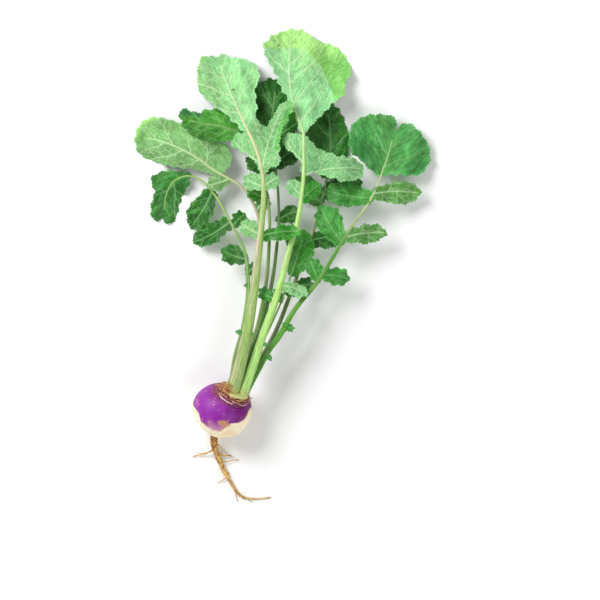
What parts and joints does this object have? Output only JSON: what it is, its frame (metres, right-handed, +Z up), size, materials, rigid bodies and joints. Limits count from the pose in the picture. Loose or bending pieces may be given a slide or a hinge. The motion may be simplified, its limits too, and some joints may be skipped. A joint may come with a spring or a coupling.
{
  "type": "turnip",
  "caption": "Young purple-top turnip with its tail root and lobed leaves on long stalks, lying on its side.",
  "frame": {"origin": "middle of the small flat spot under the swollen root, on the surface that the turnip lies on", "axes": "+Y along the plant from the root towards the leaf tips, +Z up from the surface, +X to the right seen from above"},
  "size_m": [0.2389, 0.3827, 0.0523],
  "materials": {
    "root_skin": "satin",
    "leaf_pale": "matte",
    "leaf_green": "satin"
  },
  "bodies": {
    "root": {"storage_root": "root_skin", "leaf_tall_left": "leaf_pale", "leaf_tall_centre": "leaf_pale", "leaf_right": "leaf_green", "leaf_far_left": "leaf_pale", "leaf_drooping_left": "leaf_green", "leaf_back_centre": "leaf_green", "leaf_back_left": "leaf_green", "leaf_back_right": "leaf_green", "leaf_young": "leaf_green"}
  },
  "joints": []
}
